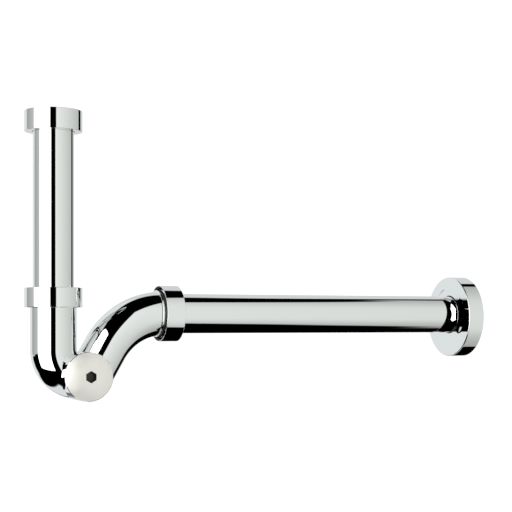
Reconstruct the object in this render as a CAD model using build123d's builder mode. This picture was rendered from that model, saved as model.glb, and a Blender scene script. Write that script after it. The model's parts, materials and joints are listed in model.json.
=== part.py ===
from build123d import *
import math
import os

os.makedirs("parts", exist_ok=True)

# A chromed brass P trap for a wash basin. Millimetres, +Z up. The origin is the centre of the inlet
# nut's mouth, +X runs along the outlet towards the wall, and the trap lies in the plane Y = 0.

# Tube and pipe sections
tube_r = 16.0             # slip tubes of 32 mm
tube_bore_r = 15.0
pipe_r = 18.0             # leg and elbow, 36 mm
bend_pipe_r = 17.7        # the outlet bend, drawn a little thinner by the bending
pipe_bore_r = 16.5
slide_gap = 0.3           # radial play of a loose ring on a tube
seat_gap = 0.1            # axial play between pieces that can move apart

# Layout of the trap
drop = 157.5              # inlet mouth down to the outlet's axis
outlet_z = -drop
elbow_depth = 28.5        # outlet axis down to where the elbow starts
elbow_r = 20.5            # centreline radius of the elbow under the leg
bend_end_x = 89.8         # where the outlet bend turns level
bend_r = 54.9             # centreline radius of the outlet bend
bend_sweep = 60.0         # degrees from the level end down to the straight stub

# Nuts
nut_r = 22.5
nut_length = 15.2         # slip nuts
inlet_nut_length = 16.0
nut_shoulder = 2.5
nut_edge = 0.4            # rounding at the plain end
nut_nose = 0.3            # rounding at the other end
nut_bore_r = 20.6         # plain stand-in for the G1 1/4 thread of the slip nuts
shoulder_bore_r = 16.6

# Inlet union
inlet_thread_r = 19.475   # minor radius of the G1 1/4 thread
inlet_thread_depth = 7.5
inlet_relief_r = 20.2
inlet_shoulder_z = -12.8
slip_ring_thick = 1.2
flange_r = 19.0
flange_thick = 1.5
gasket_r = 19.1
gasket_bore_r = 15.2
gasket_thick = 2.0
inlet_tube_end = outlet_z - 8.0

# Slip joints, along the joint from the open face of the nut
leg_joint_z = outlet_z + 4.7
outlet_joint_x = 86.6
collar_r = 20.3           # plain stand-in for the thread of the collar
collar_feet = {"leg": 0.5, "outlet": 2.6}    # how far each collar stands out of its nut
collar_ring_r = 18.9
collar_bevel = 0.4
collar_neck = 1.2
collar_flank = 2.2
collar_socket = 5.0       # the brazed pipe ends here
collar_throat = 6.0
collar_mouth = 10.0
collar_seat_r = 19.0
seal_bore_r = tube_r + 0.05
seal_nose = 6.8
seal_lip_r = 20.0
slip_ring_r = 20.1
nut_mouth_chamfer = 1.3

# Cleanout
cleanout_x = 21.0
cleanout_z = outlet_z - elbow_depth - elbow_r
boss_r = 19.1
boss_front = 25.0         # front face of the boss, measured from the trap's plane
knuckle_r = 18.6
sleeve_x = 18.0
plug_bore_r = 15.0        # plain stand-in for an M30 x 2 thread
plug_shank_r = 14.7
plug_shank = 8.0
plug_r = 19.1
plug_rim = 1.6            # height of the straight rim under the dome
plug_crown_r = 9.0        # halfway up the dome
plug_crown = 6.73
plug_height = 8.0
plug_edge_r = 18.8        # the dome ends here, with a small round down to the rim
plug_edge = 2.0
plug_hollow_r = 11.0
plug_floor = 0.5
hex_flats = 8.0
hex_depth = 5.0
o_ring_r = 17.1
o_ring_wire_r = 0.9
groove_half = 1.2
groove_depth = 1.8

# Outlet tube and wall rosette
outlet_tube_start = 89.0
outlet_tube_end = 384.0
tube_chamfer = 0.4
mark_width = 1.0          # rolled insertion mark ahead of the spigot
mark_depth = 0.3
spigot_length = 9.0
rosette_r = 35.0
rosette_depth = 14.5
rosette_back = 374.0
rosette_sheet = 1.2
rosette_hole_r = 16.75
rosette_sag = 2.0         # the cup's centre lies this much below the tube's axis
rosette_edge = 0.8
rosette_dish_r = 27.0     # round the hole the face steps back, in two arcs that meet halfway
rosette_dish_floor_r = 19.4
rosette_dish_tilt = 9.5   # steepest slope of the step, in degrees
grip_ring_r = 20.5
grip_ring_thick = 4.0
grip_bore_r = tube_r + 0.05

# Working planes: local x is the radius and local y runs along the joint
inlet_joint = Plane((0, 0, 0), x_dir=(1, 0, 0), z_dir=(0, -1, 0))
leg_joint = Plane((0, 0, leg_joint_z), x_dir=(1, 0, 0), z_dir=(0, -1, 0))
outlet_joint = Plane((outlet_joint_x, 0, outlet_z), x_dir=(0, 0, 1), z_dir=(0, 1, 0))
cleanout_joint = Plane((cleanout_x, -boss_front, cleanout_z), x_dir=(1, 0, 0), z_dir=(0, 0, -1))
outlet_line = Plane((0, 0, outlet_z), x_dir=(0, 0, 1), z_dir=(0, 1, 0))
rosette_line = Plane((0, 0, outlet_z - rosette_sag), x_dir=(0, 0, 1), z_dir=(0, 1, 0))
slip_joints = {"leg": leg_joint, "outlet": outlet_joint}


def axis_of(plane):
    """The line that a profile drawn on this plane is turned about."""
    return Axis(plane.origin, plane.y_dir)


def outer_rims(part, radius, plane):
    """The round edges of this radius on a turned part, in order along its plane."""
    rims = part.edges().filter_by(GeomType.CIRCLE)
    return rims.filter_by(lambda rim: abs(rim.radius - radius) < 0.01).sort_by(axis_of(plane))


def round_ends(nut, plane, mouth, back):
    """Round the lower and the upper outer rim of a nut."""
    fillet(outer_rims(nut, nut_r, plane)[0], radius=mouth)
    fillet(outer_rims(nut, nut_r, plane)[-1], radius=back)


# Centrelines of the brazed pipes, and the solid and hollow forms that are cut from each other
knuckle_drop = cleanout_z - outlet_z
bend_low_x = bend_end_x - bend_r * math.sin(math.radians(bend_sweep))
bend_low_z = outlet_z - bend_r * (1 - math.cos(math.radians(bend_sweep)))
stub_run = (bend_low_z - cleanout_z) / math.tan(math.radians(bend_sweep))
knuckle_x = bend_low_x - stub_run

with BuildLine(Plane.XZ) as leg_path:
    leg_run = Line((0, leg_joint_z + collar_socket), (0, outlet_z - elbow_depth))
    JernArc(leg_run @ 1, leg_run % 1, radius=elbow_r, arc_size=90)
    Line((elbow_r, cleanout_z), (knuckle_x, cleanout_z))

with BuildLine(Plane.XZ) as bend_path:
    level_run = Line((outlet_joint_x + collar_socket, outlet_z), (bend_end_x, outlet_z))
    bend_run = JernArc(level_run @ 1, level_run % 1, radius=bend_r, arc_size=bend_sweep)
    Line(bend_run @ 1, (knuckle_x, cleanout_z))


def pipe_form(path, radius):
    """A solid rod of this radius along a centreline."""
    with BuildPart() as form:
        with BuildSketch(Plane(path.line @ 0, z_dir=path.line % 0)):
            Circle(radius)
        sweep(path=path.line)
    return form.part


leg_form = pipe_form(leg_path, pipe_r)
leg_bore = pipe_form(leg_path, pipe_bore_r)
bend_form = pipe_form(bend_path, bend_pipe_r)
bend_bore = pipe_form(bend_path, pipe_bore_r)

with BuildPart() as housing_form:
    with BuildSketch(Plane.YZ.offset(sleeve_x)):
        with Locations((0, cleanout_z)):
            Circle(knuckle_r)
    extrude(amount=knuckle_x - sleeve_x)
    with Locations((knuckle_x, 0, cleanout_z)):
        Sphere(knuckle_r)
    with BuildSketch(Plane.XZ):
        with Locations((cleanout_x, cleanout_z)):
            Circle(boss_r)
    extrude(amount=boss_front)

# Trap body: two bent pipes brazed into the cleanout housing, with a threaded collar on each end
with BuildPart() as leg_elbow:
    add(leg_form)
    add(leg_bore, mode=Mode.SUBTRACT)
    add(housing_form.part, mode=Mode.SUBTRACT)
    add(bend_bore, mode=Mode.SUBTRACT)
leg_elbow.part.label = "leg_elbow"
export_step(leg_elbow.part, "parts/leg_elbow.step")

with BuildPart() as outlet_bend:
    add(bend_form)
    add(bend_bore, mode=Mode.SUBTRACT)
    add(housing_form.part, mode=Mode.SUBTRACT)
    add(leg_form, mode=Mode.SUBTRACT)
outlet_bend.part.label = "outlet_bend"
export_step(outlet_bend.part, "parts/outlet_bend.step")

with BuildPart() as cleanout_housing:
    add(housing_form.part)
    add(leg_bore, mode=Mode.SUBTRACT)
    add(bend_bore, mode=Mode.SUBTRACT)
    with Locations((knuckle_x, 0, cleanout_z)):
        Sphere(pipe_bore_r, mode=Mode.SUBTRACT)
    with BuildSketch(Plane.XZ):
        with Locations((cleanout_x, cleanout_z)):
            Circle(plug_bore_r)
    extrude(amount=boss_front, mode=Mode.SUBTRACT)
    with BuildSketch(Plane.XZ.offset(boss_front)):
        with Locations((cleanout_x, cleanout_z)):
            Circle(o_ring_r + groove_half)
            Circle(o_ring_r - groove_half, mode=Mode.SUBTRACT)
    extrude(amount=-groove_depth, mode=Mode.SUBTRACT)
cleanout_housing.part.label = "cleanout_housing"
export_step(cleanout_housing.part, "parts/cleanout_housing.step")


def collar_profile(foot):
    """Half section of a threaded collar that stands out of its nut by this much."""
    return [
        (pipe_bore_r, -foot),
        (collar_ring_r - collar_bevel, -foot),
        (collar_ring_r, collar_bevel - foot),
        (collar_ring_r, collar_neck),
        (collar_r, collar_flank),
        (collar_r, collar_mouth),
        (collar_seat_r, collar_mouth),
        (pipe_bore_r, collar_throat),
    ]


pipe_forms = {"leg": leg_form, "outlet": bend_form}
for side, joint in slip_joints.items():
    with BuildPart() as collar:
        with BuildSketch(joint):
            Polygon(*collar_profile(collar_feet[side]), align=None)
        revolve(axis=axis_of(joint))
        add(pipe_forms[side], mode=Mode.SUBTRACT)
    collar.part.label = f"{side}_collar"
    export_step(collar.part, f"parts/{side}_collar.step")

# Slip joints on the leg and on the outlet: a conical seal, a slip ring and a nut
seat_slope = (collar_seat_r - pipe_bore_r) / (collar_mouth - collar_throat)
seal_gap = 0.15
seal_tip_r = pipe_bore_r + seat_slope * (seal_nose - collar_throat) - seal_gap
seal_root_r = collar_seat_r - seal_gap
nut_floor = nut_length - nut_shoulder
ring_top = nut_floor - seat_gap
ring_bottom = ring_top - slip_ring_thick
seal_top = ring_bottom - seat_gap
lip_bottom = collar_mouth + seat_gap

seal_profile = [
    (seal_bore_r, seal_nose),
    (seal_tip_r, seal_nose),
    (seal_root_r, collar_mouth),
    (seal_root_r, lip_bottom),
    (seal_lip_r, lip_bottom),
    (seal_lip_r, seal_top),
    (seal_bore_r, seal_top),
]
slip_ring_profile = [
    (tube_r + slide_gap, ring_bottom),
    (slip_ring_r, ring_bottom),
    (slip_ring_r, ring_top),
    (tube_r + slide_gap, ring_top),
]
slip_nut_profile = [
    (nut_bore_r + nut_mouth_chamfer, 0),
    (nut_r, 0),
    (nut_r, nut_length),
    (shoulder_bore_r, nut_length),
    (shoulder_bore_r, nut_floor),
    (nut_bore_r, nut_floor),
    (nut_bore_r, nut_mouth_chamfer),
]
for side, joint in slip_joints.items():
    with BuildPart() as seal:
        with BuildSketch(joint):
            Polygon(*seal_profile, align=None)
        revolve(axis=axis_of(joint))
    seal.part.label = f"{side}_seal"
    export_step(seal.part, f"parts/{side}_seal.step")

    with BuildPart() as slip_ring:
        with BuildSketch(joint):
            Polygon(*slip_ring_profile, align=None)
        revolve(axis=axis_of(joint))
    slip_ring.part.label = f"{side}_slip_ring"
    export_step(slip_ring.part, f"parts/{side}_slip_ring.step")

    with BuildPart() as nut:
        with BuildSketch(joint):
            Polygon(*slip_nut_profile, align=None)
        revolve(axis=axis_of(joint))
        round_ends(nut, joint, mouth=nut_nose, back=nut_edge)
    nut.part.label = f"{side}_nut"
    export_step(nut.part, f"parts/{side}_nut.step")

# Inlet union: the nut hangs on the tube's flange and pulls it up against the basin waste
inlet_ring_top = inlet_shoulder_z + seat_gap + slip_ring_thick
flange_bottom = inlet_ring_top + seat_gap
flange_top = flange_bottom + flange_thick

with BuildPart() as inlet_tube:
    with BuildSketch(inlet_joint):
        Polygon(
            (tube_bore_r, inlet_tube_end),
            (tube_r, inlet_tube_end),
            (tube_r, flange_bottom),
            (flange_r, flange_bottom),
            (flange_r, flange_top),
            (tube_bore_r, flange_top),
            align=None,
        )
    revolve(axis=axis_of(inlet_joint))
inlet_tube.part.label = "inlet_tube"
export_step(inlet_tube.part, "parts/inlet_tube.step")

with BuildPart() as inlet_gasket:
    with BuildSketch(Plane.XY.offset(flange_top)):
        Circle(gasket_r)
        Circle(gasket_bore_r, mode=Mode.SUBTRACT)
    extrude(amount=gasket_thick)
inlet_gasket.part.label = "inlet_gasket"
export_step(inlet_gasket.part, "parts/inlet_gasket.step")

with BuildPart() as inlet_slip_ring:
    with BuildSketch(Plane.XY.offset(inlet_shoulder_z + seat_gap)):
        Circle(gasket_r)
        Circle(tube_r + slide_gap, mode=Mode.SUBTRACT)
    extrude(amount=slip_ring_thick)
inlet_slip_ring.part.label = "inlet_slip_ring"
export_step(inlet_slip_ring.part, "parts/inlet_slip_ring.step")

with BuildPart() as inlet_nut:
    with BuildSketch(inlet_joint):
        Polygon(
            (inlet_thread_r, 0),
            (nut_r, 0),
            (nut_r, -inlet_nut_length),
            (shoulder_bore_r, -inlet_nut_length),
            (shoulder_bore_r, inlet_shoulder_z),
            (inlet_relief_r, inlet_shoulder_z),
            (inlet_relief_r, -inlet_thread_depth),
            (inlet_thread_r, -inlet_thread_depth),
            align=None,
        )
    revolve(axis=axis_of(inlet_joint))
    round_ends(inlet_nut, inlet_joint, mouth=nut_nose, back=nut_edge)
inlet_nut.part.label = "inlet_nut"
export_step(inlet_nut.part, "parts/inlet_nut.step")

# Cleanout plug, screwed into the boss over its O-ring
with BuildPart() as cleanout_plug:
    with BuildSketch(cleanout_joint):
        with BuildLine():
            dome = ThreePointArc((0, plug_height), (plug_crown_r, plug_crown), (plug_edge_r, plug_edge))
            rim = Line(dome @ 1, (plug_r, plug_rim))
            Polyline(
                rim @ 1,
                (plug_r, seat_gap * 2),
                (plug_shank_r, seat_gap * 2),
                (plug_shank_r, -plug_shank),
                (plug_hollow_r, -plug_shank),
                (plug_hollow_r, plug_floor),
                (0, plug_floor),
                (0, plug_height),
            )
        make_face()
    revolve(axis=axis_of(cleanout_joint))
    with BuildSketch(Plane.XZ.offset(boss_front + plug_height)):
        with Locations((cleanout_x, cleanout_z)):
            RegularPolygon(hex_flats / 2, 6, major_radius=False, rotation=30)
    extrude(amount=-hex_depth, mode=Mode.SUBTRACT)
cleanout_plug.part.label = "cleanout_plug"
export_step(cleanout_plug.part, "parts/cleanout_plug.step")

with BuildPart() as cleanout_o_ring:
    with BuildSketch(cleanout_joint):
        with Locations((o_ring_r, -groove_depth / 2)):
            Circle(o_ring_wire_r)
    revolve(axis=axis_of(cleanout_joint))
cleanout_o_ring.part.label = "cleanout_o_ring"
export_step(cleanout_o_ring.part, "parts/cleanout_o_ring.step")

# Outlet tube: a rolled mark parts the wall spigot from the rest of the tube
mark_end = outlet_tube_end - spigot_length
mark_start = mark_end - mark_width
with BuildPart() as outlet_tube:
    with BuildSketch(outlet_line):
        Polygon(
            (tube_bore_r, outlet_tube_start),
            (tube_r, outlet_tube_start),
            (tube_r, mark_start),
            (tube_r - mark_depth, mark_start),
            (tube_r - mark_depth, mark_end),
            (tube_r, mark_end),
            (tube_r, outlet_tube_end),
            (tube_bore_r, outlet_tube_end),
            align=None,
        )
    revolve(axis=axis_of(outlet_line))
outlet_tube.part.label = "outlet_tube"
export_step(outlet_tube.part, "parts/outlet_tube.step")

# Wall rosette: a pressed cup with an off-centre hole, held on the tube by a rubber ring inside it
rosette_front = rosette_back - rosette_depth
dish_middle_r = (rosette_dish_r + rosette_dish_floor_r) / 2
dish_drop = (rosette_dish_r - rosette_dish_floor_r) * math.tan(math.radians(rosette_dish_tilt / 2))
dish_inside = rosette_front + dish_drop + rosette_sheet


def dish_line(start):
    """The step in the face from this place along the tube, drawn from the outside in."""
    outer_arc = TangentArc(
        (rosette_dish_r, start),
        (dish_middle_r, start + dish_drop / 2),
        tangent=(-1, 0),
    )
    inner_arc = TangentArc(
        outer_arc @ 1,
        (rosette_dish_floor_r, start + dish_drop),
        tangent=outer_arc % 1,
    )
    Line(inner_arc @ 1, (rosette_hole_r, start + dish_drop))


with BuildPart() as wall_rosette:
    with BuildSketch(rosette_line):
        Polygon(
            (0, rosette_front),
            (rosette_r, rosette_front),
            (rosette_r, rosette_back),
            (rosette_r - rosette_sheet, rosette_back),
            (rosette_r - rosette_sheet, rosette_front + rosette_sheet),
            (0, rosette_front + rosette_sheet),
            align=None,
        )
    revolve(axis=axis_of(rosette_line))
    fillet(outer_rims(wall_rosette, rosette_r, rosette_line)[0], radius=rosette_edge)
    with BuildSketch(Plane.YZ.offset(rosette_front)):
        with Locations((0, outlet_z)):
            Circle(rosette_dish_r)
    extrude(amount=rosette_sheet, mode=Mode.SUBTRACT)
    with BuildSketch(outlet_line):
        with BuildLine():
            dish_line(rosette_front)
            dish_line(rosette_front + rosette_sheet)
            Line((rosette_dish_r, rosette_front), (rosette_dish_r, rosette_front + rosette_sheet))
            Line((rosette_hole_r, rosette_front + dish_drop), (rosette_hole_r, dish_inside))
        make_face()
    revolve(axis=axis_of(outlet_line))
wall_rosette.part.label = "wall_rosette"
export_step(wall_rosette.part, "parts/wall_rosette.step")

with BuildPart() as rosette_grip_ring:
    with BuildSketch(Plane.YZ.offset(dish_inside)):
        with Locations((0, outlet_z)):
            Circle(grip_ring_r)
            Circle(grip_bore_r, mode=Mode.SUBTRACT)
    extrude(amount=grip_ring_thick)
rosette_grip_ring.part.label = "rosette_grip_ring"
export_step(rosette_grip_ring.part, "parts/rosette_grip_ring.step")
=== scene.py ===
"""Looks for a chromed brass P trap: turned and threaded pieces, plated finishes and a photo studio."""
import json
import math

import bpy
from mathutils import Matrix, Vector


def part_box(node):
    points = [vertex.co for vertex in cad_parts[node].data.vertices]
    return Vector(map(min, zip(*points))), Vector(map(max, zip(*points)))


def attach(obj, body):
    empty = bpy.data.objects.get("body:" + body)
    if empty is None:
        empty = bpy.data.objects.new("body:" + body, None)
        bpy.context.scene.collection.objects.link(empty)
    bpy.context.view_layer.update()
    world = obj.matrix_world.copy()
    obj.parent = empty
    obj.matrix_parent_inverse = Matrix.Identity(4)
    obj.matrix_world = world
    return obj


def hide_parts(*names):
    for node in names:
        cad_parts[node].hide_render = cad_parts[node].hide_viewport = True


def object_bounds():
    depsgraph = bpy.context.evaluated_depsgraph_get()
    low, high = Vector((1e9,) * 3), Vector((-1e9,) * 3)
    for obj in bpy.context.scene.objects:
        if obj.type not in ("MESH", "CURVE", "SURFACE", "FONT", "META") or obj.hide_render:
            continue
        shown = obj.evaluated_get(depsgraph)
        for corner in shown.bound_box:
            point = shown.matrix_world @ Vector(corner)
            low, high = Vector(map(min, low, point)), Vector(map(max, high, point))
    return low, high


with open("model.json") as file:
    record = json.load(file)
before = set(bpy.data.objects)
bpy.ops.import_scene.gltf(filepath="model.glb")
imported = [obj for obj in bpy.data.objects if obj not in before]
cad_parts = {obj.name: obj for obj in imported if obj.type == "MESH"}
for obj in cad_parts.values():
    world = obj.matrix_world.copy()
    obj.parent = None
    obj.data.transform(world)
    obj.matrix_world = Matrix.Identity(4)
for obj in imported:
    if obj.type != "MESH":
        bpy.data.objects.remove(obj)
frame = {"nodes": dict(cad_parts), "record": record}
cad_low, cad_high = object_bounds()

MM = 0.001
PIPE_THREAD_PITCH = 2.309 * MM     # G1 1/4
PLUG_THREAD_PITCH = 2.0 * MM       # M30 x 2
SEGMENTS = 192                     # round a turned piece, a multiple of 6 for the hexagon
ARC_STEP = math.radians(6)
SHARP_ANGLE = math.radians(28)
THREAD_ROWS = 14                   # rings of vertices in one pitch
THREAD_FLAT = 0.15                 # share of a thread's flank that is flat at its root, and at its crest


# ---------------------------------------------------------------- where the CAD put the pieces
def node_centre(node):
    low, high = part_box(node)
    return (low + high) / 2


inlet_low, inlet_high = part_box("inlet_nut")
leg_nut_low, leg_nut_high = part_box("leg_nut")
outlet_nut_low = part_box("outlet_nut")[0]
tube_low, tube_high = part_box("outlet_tube")
plug_low, plug_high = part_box("cleanout_plug")
rosette_low, rosette_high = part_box("wall_rosette")

outlet_z = (tube_low.z + tube_high.z) / 2
nut_r = (inlet_high.x - inlet_low.x) / 2
tube_r = (tube_high.z - tube_low.z) / 2
plug_centre = node_centre("cleanout_plug")
rosette_centre = node_centre("wall_rosette")


# ---------------------------------------------------------------- camera
CAMERA_AZIMUTH = math.radians(-23.747)
CAMERA_DISTANCE = 1.08315
AIM_FROM_CENTRE = -0.0082          # the optical axis meets the trap's plane this far from its middle
AIM_BELOW_OUTLET = 0.00746
HORIZON_SHIFT = 0.1305
FOCAL_LENGTH = 91.41
SENSOR_WIDTH = 36.0

camera_data = bpy.data.cameras.new("camera")
camera_data.lens = FOCAL_LENGTH
camera_data.sensor_width = SENSOR_WIDTH
camera_data.shift_y = HORIZON_SHIFT
camera = bpy.data.objects.new("camera", camera_data)
bpy.context.scene.collection.objects.link(camera)
aim_x = (cad_low.x + cad_high.x) / 2 + AIM_FROM_CENTRE
aim = Vector((aim_x, 0, outlet_z - AIM_BELOW_OUTLET))
away = Vector((math.sin(CAMERA_AZIMUTH), -math.cos(CAMERA_AZIMUTH), 0))
camera.location = aim + away * CAMERA_DISTANCE
camera.rotation_euler = (math.radians(90), 0, CAMERA_AZIMUTH)
bpy.context.scene.camera = camera


# ---------------------------------------------------------------- shader helpers
def linear(level):
    """A display level from 0 to 255 as scene-linear light."""
    share = level / 255
    return share / 12.92 if share <= 0.04045 else ((share + 0.055) / 1.055) ** 2.4


def put(tree, socket, value):
    """Link an output to a socket, or set the socket to a number."""
    if isinstance(value, bpy.types.NodeSocket):
        tree.links.new(value, socket)
    else:
        socket.default_value = value


def calculate(tree, operation, *values):
    """A Math node's result."""
    node = tree.nodes.new("ShaderNodeMath")
    node.operation = operation
    for socket, value in zip(node.inputs, values):
        put(tree, socket, value)
    return node.outputs[0]


def ramp_between(tree, value, low, high, from_value=0.0, to_value=1.0, smooth=True):
    """Map a value from low..high to from_value..to_value, clamped."""
    node = tree.nodes.new("ShaderNodeMapRange")
    node.interpolation_type = "SMOOTHSTEP" if smooth else "LINEAR"
    for socket, number in zip(node.inputs, (value, low, high, from_value, to_value)):
        put(tree, socket, number)
    return node.outputs[0]


def blend_colours(tree, factor, first, second):
    """A Mix node between two colours."""
    node = tree.nodes.new("ShaderNodeMix")
    node.data_type = "RGBA"
    put(tree, node.inputs["Factor"], factor)
    for socket, colour in ((node.inputs["A"], first), (node.inputs["B"], second)):
        put(tree, socket, colour)
    return node.outputs["Result"]


# ---------------------------------------------------------------- studio
BLACK = (0.0, 0.0, 0.0, 1)
SOFTBOX_WHITE = (2.2, 2.2, 2.2, 1)
PLAIN_WHITE = (1.12, 1.12, 1.12, 1)     # the surround for every ray that isn't a reflection
CHROME_REFLECTS = 0.93


def tint(level, red=1.0, green=1.0, blue=1.0):
    """A grey of this display level, as chrome shows it, with a slight tint."""
    light = linear(level) / CHROME_REFLECTS
    return (light * red, light * green, light * blue, 1)


PALE_RIGHT_BACK = tint(208, 0.975, 1.0, 1.015)
PALE_LEFT_BACK = tint(222, 0.965, 1.0, 1.01)
PALE_FLOOR = tint(218, 0.97, 1.0, 1.03)


def panel(tree, below, azimuth, elevation, sides, heights, soft, colour):
    """Lay one panel over the colour below it, between two azimuths and two elevations.
    They are in degrees, or sockets in radians. soft has the widths of the left, right, bottom and
    top edges."""
    degrees = math.radians
    left, right = sides
    bottom, top = heights
    edge_left, edge_right, edge_bottom, edge_top = soft
    masks = []
    for value, edge, width, sign in (
        (azimuth, left, edge_left, 1),
        (azimuth, right, edge_right, -1),
        (elevation, bottom, edge_bottom, 1),
        (elevation, top, edge_top, -1),
    ):
        half = degrees(width) / 2
        if isinstance(edge, bpy.types.NodeSocket):
            value = calculate(tree, "SUBTRACT", value, edge)
            edge = 0.0
        middle = degrees(edge)
        masks.append(ramp_between(tree, value, middle - sign * half, middle + sign * half))
    mask = masks[0]
    for other in masks[1:]:
        mask = calculate(tree, "MULTIPLY", mask, other)
    return blend_colours(tree, mask, below, colour)


def studio():
    """Pale panels with black gaps between them, far away and seen only in reflections."""
    world = bpy.data.worlds.new("studio")
    bpy.context.scene.world = world
    world.use_nodes = True
    tree = world.node_tree
    tree.nodes.clear()
    direction = tree.nodes.new("ShaderNodeTexCoord").outputs["Generated"]
    parts = tree.nodes.new("ShaderNodeSeparateXYZ")
    tree.links.new(direction, parts.inputs[0])
    x, y, z = parts.outputs
    minus_y = calculate(tree, "MULTIPLY", y, -1.0)
    azimuth = calculate(tree, "ARCTAN2", x, minus_y)
    behind = calculate(tree, "ARCTAN2", x, y)
    elevation = calculate(tree, "ARCSINE", z)

    light = BLACK
    # pale surround behind the trap
    for sides, heights, soft, colour in (
        ((0, 59.5), (-14, 62), (0.5, 2.5, 6, 5), PALE_RIGHT_BACK),
        ((-37, 0), (-27, 62), (2.5, 0.5, 5, 5), PALE_LEFT_BACK),
        ((-60, -35.5), (-8, 62), (2, 2.5, 4, 5), PALE_LEFT_BACK),
    ):
        light = panel(tree, light, behind, elevation, sides, heights, soft, colour)
    # pale card on the floor under the inlet
    down = calculate(tree, "MAXIMUM", calculate(tree, "MULTIPLY", z, -1.0), 0.02)
    across = calculate(tree, "DIVIDE", x, down)
    deep = calculate(tree, "DIVIDE", y, down)
    floor_mask = ramp_between(tree, across, -0.47, -0.38)
    for value, dark_at, pale_at in ((across, 0.30, 0.20), (deep, -0.25, -0.05), (z, -0.25, -0.35)):
        edge = ramp_between(tree, value, dark_at, pale_at)
        floor_mask = calculate(tree, "MULTIPLY", floor_mask, edge)
    light = blend_colours(tree, floor_mask, light, PALE_FLOOR)
    # broad pale panel on the right
    degrees = math.radians
    panel_top = ramp_between(
        tree, azimuth, degrees(-3), degrees(45), degrees(46), degrees(60.5), smooth=False)
    panel_foot = ramp_between(
        tree, azimuth, degrees(30), degrees(60), degrees(-52), degrees(-58.5), smooth=False)
    shade = ramp_between(tree, azimuth, 0.0, degrees(100), smooth=False)
    pale = blend_colours(tree, shade, tint(230, 0.98, 1.01, 0.985), tint(184, 0.99, 1.01, 0.975))
    dim_top = ramp_between(tree, elevation, degrees(30), degrees(62), 0.0, 0.14)
    dim_foot = ramp_between(tree, elevation, degrees(-25), degrees(-60), 0.0, 0.24)
    pale = blend_colours(tree, calculate(tree, "ADD", dim_top, dim_foot), pale, BLACK)
    light = panel(
        tree, light, azimuth, elevation, (-4, 103), (panel_foot, panel_top), (2, 2, 3, 2), pale)

    paths = tree.nodes.new("ShaderNodeLightPath").outputs
    seen = tree.nodes.new("ShaderNodeBackground")
    tree.links.new(light, seen.inputs["Color"])
    plain = tree.nodes.new("ShaderNodeBackground")
    plain.inputs["Color"].default_value = PLAIN_WHITE
    choose = tree.nodes.new("ShaderNodeMixShader")
    tree.links.new(paths["Is Glossy Ray"], choose.inputs[0])
    tree.links.new(plain.outputs[0], choose.inputs[1])
    tree.links.new(seen.outputs[0], choose.inputs[2])
    output = tree.nodes.new("ShaderNodeOutputWorld")
    tree.links.new(choose.outputs[0], output.inputs["Surface"])
    bpy.context.scene.view_settings.view_transform = "Standard"


def light_card(name, corners, start, end):
    """A flat panel of light near the trap, seen only in reflections.
    Its colour goes from start at its lowest X to end at its highest."""
    material = bpy.data.materials.new(name)
    material.use_nodes = True
    tree = material.node_tree
    tree.nodes.clear()
    parts = tree.nodes.new("ShaderNodeSeparateXYZ")
    tree.links.new(tree.nodes.new("ShaderNodeTexCoord").outputs["Generated"], parts.inputs[0])
    glow = tree.nodes.new("ShaderNodeEmission")
    tree.links.new(blend_colours(tree, parts.outputs["X"], start, end), glow.inputs["Color"])
    output = tree.nodes.new("ShaderNodeOutputMaterial")
    tree.links.new(glow.outputs[0], output.inputs["Surface"])
    mesh = bpy.data.meshes.new(name)
    mesh.from_pydata(corners, [], [range(len(corners))])
    mesh.materials.append(material)
    card = bpy.data.objects.new(name, mesh)
    bpy.context.scene.collection.objects.link(card)
    card.visible_camera = False
    card.visible_diffuse = False
    card.visible_shadow = False


def softbox():
    """The main light, a white panel that faces the leg from the left."""
    azimuth = math.radians(-62)
    distance = 1.3
    towards = Vector((math.sin(azimuth), -math.cos(azimuth), 0))
    side = Vector((math.cos(azimuth), math.sin(azimuth), 0))
    middle = Vector((0, 0, outlet_z)) + towards * distance
    outline = [(-0.89, -0.93), (0.88, -0.93), (0.88, 0.98), (0.0, 1.44), (-0.89, 1.44)]
    corners = [middle + side * across + Vector((0, 0, height)) for across, height in outline]
    light_card("softbox", corners, SOFTBOX_WHITE, SOFTBOX_WHITE)


def grey_card():
    """A card behind the trap on the left, from the softbox towards the pale surround."""
    near, far = (-1.50, 0.17), (-0.60, 0.80)
    near_foot, far_foot, top = outlet_z - 0.21, outlet_z - 0.14, outlet_z + 1.9
    corners = [
        Vector((*near, near_foot)),
        Vector((*far, far_foot)),
        Vector((*far, top)),
        Vector((*near, top)),
    ]
    light_card("grey_card", corners, tint(193, 0.97, 1.0, 1.0), tint(158, 0.98, 1.0, 1.0))


studio()
softbox()
grey_card()


# ---------------------------------------------------------------- materials
def noise(tree, scale, detail=2.0):
    """A Noise texture on the object's own coordinates, which are metres."""
    coordinates = tree.nodes.new("ShaderNodeTexCoord").outputs["Object"]
    node = tree.nodes.new("ShaderNodeTexNoise")
    node.inputs["Scale"].default_value = scale
    node.inputs["Detail"].default_value = detail
    tree.links.new(coordinates, node.inputs["Vector"])
    return node.outputs["Fac"]


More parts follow.
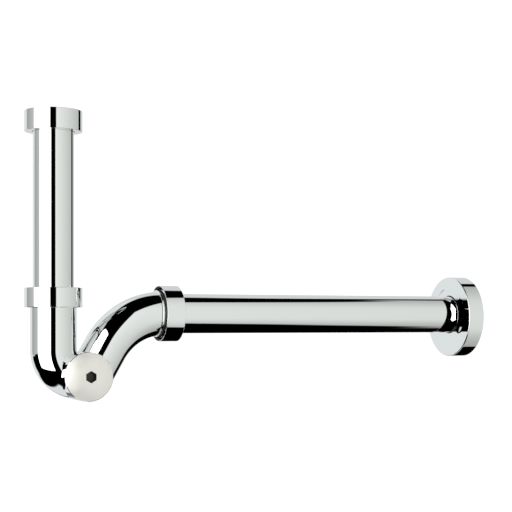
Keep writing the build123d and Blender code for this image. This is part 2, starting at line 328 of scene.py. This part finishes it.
def finish_material(name, dark, light, rough, metallic=1.0, scale=60.0, grain=900.0, bump=0.02,
                    depth=0.02 * MM):
    """A procedural finish: its colour and roughness drift over the surface, and a grain lifts it."""
    material = bpy.data.materials.new(name)
    material.use_nodes = True
    tree = material.node_tree
    shader = tree.nodes["Principled BSDF"]
    shader.inputs["Metallic"].default_value = metallic
    drift = noise(tree, scale)
    colour = blend_colours(tree, drift, (*dark, 1), (*light, 1))
    tree.links.new(colour, shader.inputs["Base Color"])
    tree.links.new(ramp_between(tree, drift, 0.3, 0.7, *rough), shader.inputs["Roughness"])
    bump_node = tree.nodes.new("ShaderNodeBump")
    bump_node.inputs["Strength"].default_value = bump
    bump_node.inputs["Distance"].default_value = depth
    tree.links.new(noise(tree, grain, 3.0), bump_node.inputs["Height"])
    tree.links.new(bump_node.outputs[0], shader.inputs["Normal"])
    return material


def chrome_finish(name, rough, grain, bump):
    """Polished chrome plate, with the waviness of the metal under it."""
    dark, light = (0.915, 0.93, 0.925), (0.94, 0.95, 0.945)
    return finish_material(name, dark, light, rough, grain=grain, bump=bump)


chrome = chrome_finish("chrome", (0.008, 0.02), 70, 0.02)
tube_chrome = chrome_finish("tube_chrome", (0.008, 0.018), 45, 0.02)
cast_chrome = chrome_finish("cast_chrome", (0.01, 0.03), 90, 0.05)
sheet_chrome = chrome_finish("sheet_chrome", (0.01, 0.025), 40, 0.03)
brass = finish_material(
    "raw_brass", (0.62, 0.45, 0.20), (0.76, 0.57, 0.28), (0.25, 0.4),
    grain=1500, bump=0.15, depth=0.05 * MM)
nickel = finish_material(
    "satin_nickel", (0.76, 0.755, 0.70), (0.82, 0.815, 0.76), (0.42, 0.52),
    metallic=0.35, scale=150, grain=1400, bump=0.25, depth=0.06 * MM)
# Near-black metal that paints shade into recesses: the slip nuts' bores and the plug's hexagon socket
painted_shade_metal = finish_material(
    "painted_shade_metal", (0.045, 0.046, 0.04), (0.09, 0.09, 0.08), (0.4, 0.55),
    scale=400, grain=3000, bump=0.2, depth=0.05 * MM)
rubber = finish_material(
    "rubber", (0.018, 0.018, 0.02), (0.035, 0.035, 0.037), (0.55, 0.75),
    metallic=0.0, grain=2500, bump=0.3, depth=0.05 * MM)
nylon = finish_material(
    "nylon", (0.76, 0.75, 0.70), (0.84, 0.83, 0.79), (0.35, 0.5),
    metallic=0.0, grain=1200, bump=0.15, depth=0.05 * MM)

slot_materials = {
    "chrome": chrome,
    "chrome_tube": tube_chrome,
    "chrome_cast": cast_chrome,
    "chrome_sheet": sheet_chrome,
    "satin_nickel": nickel,
    "rubber": rubber,
    "nylon": nylon,
}
node_slots = {}
for subpart in frame["record"]["subparts"]:
    node_slots[subpart["node"]] = subpart["material_slot"]
for node, cad_object in frame["nodes"].items():
    for material_slot in cad_object.material_slots:
        material_slot.material = slot_materials[node_slots[node]]


# ---------------------------------------------------------------- turned pieces
# A section is drawn in millimetres as (radius, along) corners, each with the radius of its rounding
# if it has one. A radius can also be a function of the angle. "along" is measured from the piece's
# own zero, in the direction of its axis.
def rounded_steps(corners):
    """The steps round a closed section: (start, end, normal at the start, normal at the end)."""
    count = len(corners)
    points = [Vector(corner[:2]) for corner in corners]
    ends = []
    steps = []
    for index, here in enumerate(points):
        into = (here - points[index - 1]).normalized()
        out = (points[(index + 1) % count] - here).normalized()
        rounding = corners[index][2] if len(corners[index]) > 2 else 0.0
        turn = math.atan2(into.x * out.y - into.y * out.x, into.dot(out))
        setback = rounding * math.tan(abs(turn) / 2)
        ends.append((here - into * setback, here + out * setback, into, turn, rounding))
    for index in range(count):
        start, _, into, turn, rounding = ends[index]
        normal = Vector((into.y, -into.x))
        if (start - ends[index - 1][1]).length > 1e-3:
            steps.append((ends[index - 1][1], start, normal, normal))
        if rounding > 0:
            side = math.copysign(1.0, turn)
            centre = start - normal * rounding * side
            parts = max(2, math.ceil(abs(turn) / ARC_STEP))
            normals = []
            for part in range(parts + 1):
                cosine, sine = math.cos(turn * part / parts), math.sin(turn * part / parts)
                normals.append(Vector((
                    normal.x * cosine - normal.y * sine,
                    normal.x * sine + normal.y * cosine,
                )))
            places = [centre + each * rounding * side for each in normals]
            for part in range(parts):
                steps.append((places[part], places[part + 1], normals[part], normals[part + 1]))
    return steps


def thread_radius(plain, low, high, pitch, start, end, along):
    """How the radius of a right-hand thread goes round at one place along it."""
    run_out = max(0.0, min(1.0, (along - start) / pitch, (end - along) / pitch))

    def radius(angle):
        turn = (along / pitch - angle / (2 * math.pi)) % 1.0
        rise = (1 - abs(2 * turn - 1) - THREAD_FLAT) / (1 - 2 * THREAD_FLAT)
        crest = min(1.0, max(0.0, rise))
        return plain + run_out * (low + (high - low) * crest - plain)

    return radius


def cut_thread(steps, plain, low, high, pitch, start, end):
    """Put a thread on the straight step of radius plain, from start to end along it."""
    made = []
    for step in steps:
        first, last, normal, _ = step
        on_it = abs(first.x - plain) < 1e-6 and abs(last.x - plain) < 1e-6
        if not (on_it and min(first.y, last.y) <= start and max(first.y, last.y) >= end):
            made.append(step)
            continue
        near, far = (start, end) if first.y < last.y else (end, start)
        rows = math.ceil((end - start) / pitch * THREAD_ROWS)
        places = [near + (far - near) * row / rows for row in range(rows + 1)]
        rims = []
        for place in places:
            rims.append((thread_radius(plain, low, high, pitch, start, end, place), place))
        made.append((first, Vector((plain, near)), normal, normal))
        made += [(before, after, None, None) for before, after in zip(rims, rims[1:])]
        made.append((Vector((plain, far)), last, normal, normal))
    return made


def turned(name, steps, origin, axis, cross, body, finishes, pick=None, sag=None):
    """Turn a section about an axis into a piece. cross is the direction of angle 0.
    pick(place, normal) is the number of a step's finish, and sag(radius) moves a ring off the axis."""
    third = axis.cross(cross)
    spokes = []
    for segment in range(SEGMENTS):
        angle = 2 * math.pi * segment / SEGMENTS
        spokes.append((angle, cross * math.cos(angle) + third * math.sin(angle)))
    vertices, rows = [], []
    for first, *_ in steps:
        radius, along = first
        if not callable(radius) and radius < 1e-6:
            rows.append([len(vertices)] * SEGMENTS)
            vertices.append(origin + axis * along * MM)
            continue
        rows.append(list(range(len(vertices), len(vertices) + SEGMENTS)))
        centre = origin + sag(radius) if sag else origin
        for angle, spoke in spokes:
            reach = radius(angle) if callable(radius) else radius
            vertices.append(centre + (axis * along + spoke * reach) * MM)
    faces, normals, chosen = [], [], []
    for index, (first, last, start_normal, end_normal) in enumerate(steps):
        here, after = rows[index], rows[(index + 1) % len(rows)]
        flat = abs(first[1] - last[1]) < 1e-6
        plain = not callable(first[0]) and not callable(last[0])
        exact = start_normal is not None and (plain or flat)
        finish = int(pick(first, start_normal)) if pick else 0
        for segment in range(SEGMENTS):
            follow = (segment + 1) % SEGMENTS
            corners = [
                (here[segment], segment, start_normal),
                (here[follow], follow, start_normal),
                (after[follow], follow, end_normal),
                (after[segment], segment, end_normal),
            ]
            kept = []
            for corner in corners:
                if corner[0] not in [other[0] for other in kept]:
                    kept.append(corner)
            if len(kept) < 3:
                continue
            faces.append([corner[0] for corner in kept])
            chosen.append(finish)
            for _, spoke, normal in kept:
                if exact:
                    normals.append(spokes[spoke][1] * normal[0] + axis * normal[1])
                else:
                    normals.append(Vector((0, 0, 0)))      # zero leaves it to Blender
    mesh = bpy.data.meshes.new(name)
    mesh.from_pydata(vertices, [], faces)
    mesh.polygons.foreach_set("material_index", chosen)
    mesh.polygons.foreach_set("use_smooth", [True] * len(faces))
    mesh.set_sharp_from_angle(angle=SHARP_ANGLE)
    mesh.normals_split_custom_set(normals)
    for finish in finishes:
        mesh.materials.append(finish)
    piece = bpy.data.objects.new(name, mesh)
    bpy.context.scene.collection.objects.link(piece)
    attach(piece, body)
    return piece


def stands_for(node):
    """The piece is shown in place of a CAD node, which is hidden."""
    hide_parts(node)


def in_bore(place, normal):
    """Whether a step of the section faces the axis, or is part of a thread in the bore."""
    return normal is None or normal[0] < -0.3


X, Y, Z = Vector((1, 0, 0)), Vector((0, 1, 0)), Vector((0, 0, 1))
nut_mm = nut_r / MM
pitch_mm = PIPE_THREAD_PITCH / MM

# Inlet nut
inlet_length = (inlet_high.z - inlet_low.z) / MM
inlet_major, inlet_minor = 20.95, 19.55
inlet_bevel = 0.4
inlet_thread_end = -8.0
inlet_shoulder = -12.8
ring_bore = 16.25                  # the hole in a nut's shoulder
section = rounded_steps([
    (inlet_major + inlet_bevel, 0.0),
    (inlet_major, -inlet_bevel),
    (inlet_major, inlet_shoulder, 0.3),
    (ring_bore, inlet_shoulder, 0.2),
    (ring_bore, -inlet_length, 0.4),
    (nut_mm, -inlet_length, 0.3),
    (nut_mm, 0.0, 0.4),
])
section = cut_thread(
    section, inlet_major, inlet_minor, inlet_major, pitch_mm, inlet_thread_end, -inlet_bevel)
inlet_nut = turned(
    "threaded_inlet_nut", section, Vector((0, 0, 0)), Z, X, "inlet_nut", [chrome, brass], in_bore)
stands_for("inlet_nut")

# Slip nuts and the threaded collars that they screw onto
slip_length = (leg_nut_high.z - leg_nut_low.z) / MM
bore_major, bore_minor = 20.95, 20.15
bore_thread_end = 9.4
slip_floor = slip_length - 2.5     # the inner face of the nut's shoulder
mouth_chamfer = 1.1
collar_major, collar_minor = 20.75, 19.95
collar_ring = 18.9                 # the plain ring under the collar's thread
collar_ring_end, collar_thread_start, collar_thread_end = 1.2, 2.2, 9.8
collar_end = 10.0
seat_mouth, seat_foot, seat_depth = 19.0, 16.5, 6.0     # the cone that the seal sits in
pipe_end = 5.0                     # the brazed pipe stops here
pipe_overlap = 0.3                 # the collar reaches this far into the pipe's wall
slip_joints = {
    "leg": (Vector((0, 0, leg_nut_low.z)), Z, X, 18.0, 0.5),
    "outlet": (Vector((outlet_nut_low.x, 0, outlet_z)), X, Y, 17.7, 2.6),
}


def past_mouth(place, normal):
    """Whether a step is in a slip nut's bore between the mouth chamfer and the shoulder, which is
    painted near-black as shade.
    """
    return in_bore(place, normal) and mouth_chamfer < place[1] < slip_floor - 0.1


for side, (origin, axis, cross, pipe_radius, foot) in slip_joints.items():
    section = rounded_steps([
        (bore_major + mouth_chamfer, 0.0),
        (nut_mm, 0.0, 0.3),
        (nut_mm, slip_length, 0.4),
        (ring_bore, slip_length, 0.3),
        (ring_bore, slip_floor, 0.2),
        (bore_major, slip_floor, 0.3),
        (bore_major, mouth_chamfer),
    ])
    section = cut_thread(
        section, bore_major, bore_minor, bore_major, pitch_mm, mouth_chamfer, bore_thread_end)
    # the bore past the mouth is painted near-black as shade
    nut = turned(
        f"threaded_{side}_nut", section, origin, axis, cross, f"{side}_nut",
        [chrome, painted_shade_metal], past_mouth)
    stands_for(f"{side}_nut")

    section = rounded_steps([
        (pipe_radius - pipe_overlap, -foot),
        (collar_ring, -foot, 0.35),
        (collar_ring, collar_ring_end),
        (collar_minor, collar_thread_start),
        (collar_minor, collar_end, 0.2),
        (seat_mouth, collar_end, 0.2),
        (seat_foot, seat_depth),
        (seat_foot, pipe_end),
        (pipe_radius - pipe_overlap, pipe_end),
    ])
    section = cut_thread(
        section, collar_minor, collar_minor, collar_major, pitch_mm,
        collar_thread_start, collar_thread_end)
    collar = turned(
        f"threaded_{side}_collar", section, origin, axis, cross, "trap_body", [chrome])
    stands_for(f"{side}_collar")

# Straight tubes, bare brass inside
tube_mm = tube_r / MM
wall = 1.0
inlet_tube_low, inlet_tube_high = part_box("inlet_tube")
tube_foot, flange_top = inlet_tube_low.z / MM, inlet_tube_high.z / MM
flange_radius, flange_thick = 19.0, 1.5
section = rounded_steps([
    (tube_mm - wall, tube_foot, 0.2),
    (tube_mm, tube_foot, 0.4),
    (tube_mm, flange_top - flange_thick, 0.1),
    (flange_radius, flange_top - flange_thick, 0.3),
    (flange_radius, flange_top, 0.3),
    (tube_mm - wall, flange_top, 0.6),
])
tube = turned(
    "flanged_inlet_tube", section, Vector((0, 0, 0)), Z, X, "inlet_tube",
    [tube_chrome, brass], in_bore)
stands_for("inlet_tube")

tube_start, tube_end = tube_low.x / MM, tube_high.x / MM
groove_end = tube_end - 9.0        # a rolled groove marks how far the tube goes into the wall pipe
groove_start = groove_end - 1.0
groove_depth = 0.3
section = rounded_steps([
    (tube_mm - wall, tube_start, 0.2),
    (tube_mm - wall, tube_end, 0.2),
    (tube_mm, tube_end, 0.4),
    (tube_mm, groove_end, 0.25),
    (tube_mm - groove_depth, groove_end, 0.25),
    (tube_mm - groove_depth, groove_start, 0.25),
    (tube_mm, groove_start, 0.25),
    (tube_mm, tube_start, 0.4),
][::-1])
tube = turned(
    "rolled_outlet_tube", section, Vector((0, 0, outlet_z)), X, Y, "outlet_tube",
    [tube_chrome, brass], in_bore)
stands_for("outlet_tube")


# Wall rosette: a pressed cup that hangs lower than its hole, with a shallow dish round the hole
rosette_mm = (rosette_high.y - rosette_low.y) / 2 / MM
rosette_deep = (rosette_high.x - rosette_low.x) / MM
cup_sag = Vector((0, 0, rosette_centre.z - outlet_z))
hole, sheet = 16.75, 1.2
dish_r, dish_floor_r = 27.0, 19.4
dish_tilt = 9.5                    # degrees, at its steepest
dish_drop = (dish_r - dish_floor_r) * math.tan(math.radians(dish_tilt / 2))
dish_bend = (dish_r - dish_floor_r) / 2 / math.sin(math.radians(dish_tilt))
dish_half = dish_bend * math.tan(math.radians(dish_tilt / 2))
section = rounded_steps([
    (hole, dish_drop + sheet, 0.2),
    (hole, dish_drop, 0.2),
    (dish_floor_r + dish_half, dish_drop, dish_bend),
    (dish_r - dish_half, 0.0, dish_bend),
    (rosette_mm, 0.0, 0.8),
    (rosette_mm, rosette_deep, 0.2),
    (rosette_mm - sheet, rosette_deep, 0.2),
    (rosette_mm - sheet, sheet, 0.3),
    (dish_r - dish_half, sheet, dish_bend),
    (dish_floor_r + dish_half, sheet + dish_drop, dish_bend),
])


def hang(radius):
    """The cup's rings hang below the tube's axis, the hole's do not."""
    return cup_sag if radius > dish_r + 1 else Vector((0, 0, 0))


rosette = turned(
    "pressed_rosette", section, Vector((rosette_low.x, 0, outlet_z)), X, Y, "wall_rosette",
    [sheet_chrome], sag=hang)
stands_for("wall_rosette")


# Cleanout plug with a hexagon socket, and the thread in the boss that it screws into
def hexagon(apothem, first_corner):
    """The radius of a hexagon round the clock."""

    def radius(angle):
        return apothem / math.cos((angle - first_corner) % math.radians(60) - math.radians(30))

    return radius


boss_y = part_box("cleanout_housing")[0].y
plug_origin = Vector((plug_centre.x, boss_y, plug_centre.z))
head = (boss_y - plug_low.y) / MM
plug_mm = (plug_high.x - plug_low.x) / 2 / MM
shank = (plug_high.y - boss_y) / MM
socket_floor = 3.0
socket_apothem = 4.0               # 8 mm across flats
socket_bevel = 0.4
socket_corner = math.radians(30)
land = head - 0.14                 # the level ring round the socket
land_radius = 5.0
hollow_radius, hollow_floor = 11.0, 0.5
plug_major, plug_minor = 14.8, 13.95
plug_pitch_mm = PLUG_THREAD_PITCH / MM
seat = 0.2                         # the head's underside
rim_end = 1.6
dome_foot_radius, dome_foot = 18.8, 2.0
dome_radius = 32.2
section = rounded_steps([
    (0.0, hollow_floor),
    (hollow_radius, hollow_floor, 0.5),
    (hollow_radius, -shank, 0.2),
    (plug_minor, -shank, 0.5),
    (plug_minor, seat, 0.2),
    (plug_mm, seat, 0.2),
    (plug_mm, rim_end, 0.2),
    (dome_foot_radius, dome_foot, 0.2),
    (12.57, land - 1.18, dome_radius),          # where the dome's two end tangents meet
    (land_radius, land),
    (0.0, land),
])
section = cut_thread(
    section, plug_minor, plug_minor, plug_major, plug_pitch_mm, -shank + 0.5, -0.6)
mouth = hexagon(socket_apothem + 0.2, socket_corner)
socket_wall = hexagon(socket_apothem, socket_corner)
ahead = Vector((0, 1))
section[0] = ((0.0, socket_floor), section[0][1], ahead, ahead)
section[-1] = (section[-1][0], (mouth, land), ahead, ahead)
section += [
    ((mouth, land), (socket_wall, land - socket_bevel), None, None),
    ((socket_wall, land - socket_bevel), (socket_wall, socket_floor), None, None),
    ((socket_wall, socket_floor), (0.0, socket_floor), ahead, ahead),
]


def plug_finish(place, normal):
    """The socket's walls and floor are painted near-black as shade, the rim is bright and the rest is
    satin.
    """
    if callable(place[0]):
        return 0 < place[1] < land - 0.1
    return 2 if place[1] > 0 and normal[0] > 0.7 else 0


plug = turned(
    "threaded_cleanout_plug", section, plug_origin, -Y, X, "cleanout_plug",
    [nickel, painted_shade_metal, chrome], plug_finish)
stands_for("cleanout_plug")

boss_bore, boss_minor = 15.0, 14.15
sleeve_end, sleeve_start = -12.0, -0.5
sleeve_back = boss_bore + 0.01
section = rounded_steps([
    (sleeve_back, sleeve_end),
    (sleeve_back, sleeve_start),
    (boss_bore, sleeve_start),
    (boss_bore, sleeve_end),
])
section = cut_thread(
    section, boss_bore, boss_minor, boss_bore, plug_pitch_mm, sleeve_end, sleeve_start)
sleeve = turned("cleanout_boss_thread", section, plug_origin, -Y, X, "trap_body", [brass])

# ---------------------------------------------------------------- floor
floor_reach = 6.0
floor_z = cad_low.z - 0.3
floor_mesh = bpy.data.meshes.new("floor")
corners = []
for sx, sy in ((-1, -1), (1, -1), (1, 1), (-1, 1)):
    corners.append((sx * floor_reach, sy * floor_reach, floor_z))
floor_mesh.from_pydata(corners, [], [(0, 1, 2, 3)])
floor = bpy.data.objects.new("floor", floor_mesh)
bpy.context.scene.collection.objects.link(floor)
floor_mesh.materials.append(finish_material(
    "floor", (0.93, 0.93, 0.93), (0.96, 0.96, 0.96), (0.8, 0.9), metallic=0.0))
floor.visible_glossy = False
